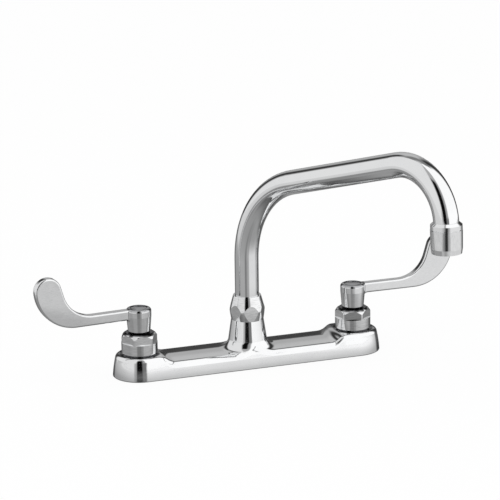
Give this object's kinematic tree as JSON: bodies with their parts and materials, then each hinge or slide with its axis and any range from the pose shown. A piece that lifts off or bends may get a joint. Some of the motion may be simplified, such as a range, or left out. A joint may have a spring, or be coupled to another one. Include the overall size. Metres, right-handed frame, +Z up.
{
  "type": "kitchen faucet",
  "caption": "Deck-mounted kitchen faucet: cast bridge body, quarter-turn valves with wrist-blade handles, and a swinging tubular spout with an aerator.",
  "frame": {"origin": "centre of the underside of the body, on the deck, under the spout's riser", "axes": "+X along the body from the left valve to the right valve, -Y towards the person who uses it, +Z up"},
  "size_m": [0.3971, 0.2609, 0.2263],
  "materials": {
    "chromed_body": "polished chrome plate over cast brass",
    "chromed_nut": "polished chrome plate over turned brass",
    "chromed_tube": "polished chrome plate over drawn brass tube",
    "chromed_aerator": "polished chrome plate",
    "chromed_handle": "polished chrome plate over cast metal",
    "chromed_cap": "polished chrome, plain",
    "brass": "turned brass",
    "stainless": "stainless steel",
    "black_rubber": "smooth rubber",
    "gasket_foam": "closed-cell foam",
    "fibre_washer": "pressed fibre",
    "acetal": "moulded acetal",
    "white_plastic": "moulded plastic",
    "ceramic": "lapped alumina ceramic"
  },
  "bodies": {
    "faucet_body": {"deck_body": "chromed_body", "deck_gasket": "gasket_foam", "spout_nut": "chromed_nut", "spout_washer": "acetal", "spout_bearing_ring": "acetal", "left_seat_seal": "black_rubber", "right_seat_seal": "black_rubber", "left_fixed_disc": "ceramic", "right_fixed_disc": "ceramic", "left_cartridge_body": "brass", "right_cartridge_body": "brass", "left_bonnet_washer": "fibre_washer", "right_bonnet_washer": "fibre_washer", "left_bonnet_nut": "chromed_nut", "right_bonnet_nut": "chromed_nut"},
    "left_handle_body": {"left_moving_disc": "ceramic", "left_stem": "brass", "left_stem_o_rings": "black_rubber", "left_stem_clip": "stainless", "left_handle": "chromed_handle", "left_handle_screw": "stainless", "left_index_cap": "chromed_cap"},
    "right_handle_body": {"right_moving_disc": "ceramic", "right_stem": "brass", "right_stem_o_rings": "black_rubber", "right_stem_clip": "stainless", "right_handle": "chromed_handle", "right_handle_screw": "stainless", "right_index_cap": "chromed_cap"},
    "spout_body": {"spout_tube": "chromed_tube", "spout_spigot": "brass", "spout_o_rings": "black_rubber", "outlet_collar": "chromed_tube", "aerator_housing": "chromed_aerator", "aerator_washer": "black_rubber", "aerator_insert": "white_plastic", "aerator_screen": "stainless"}
  },
  "joints": [
    {"name": "left_handle_turn", "type": "hinge", "parent": "faucet_body", "child": "left_handle_body", "pos_m": [-0.1016, 0, 0.045], "axis": [0, 0, 1], "range_deg": [0, 90]},
    {"name": "right_handle_turn", "type": "hinge", "parent": "faucet_body", "child": "right_handle_body", "pos_m": [0.1016, 0, 0.045], "axis": [0, 0, -1], "range_deg": [0, 90]},
    {"name": "spout_swing", "type": "hinge", "parent": "faucet_body", "child": "spout_body", "pos_m": [0, 0, 0.045], "axis": [0, 0, 1], "continuous": true}
  ]
}
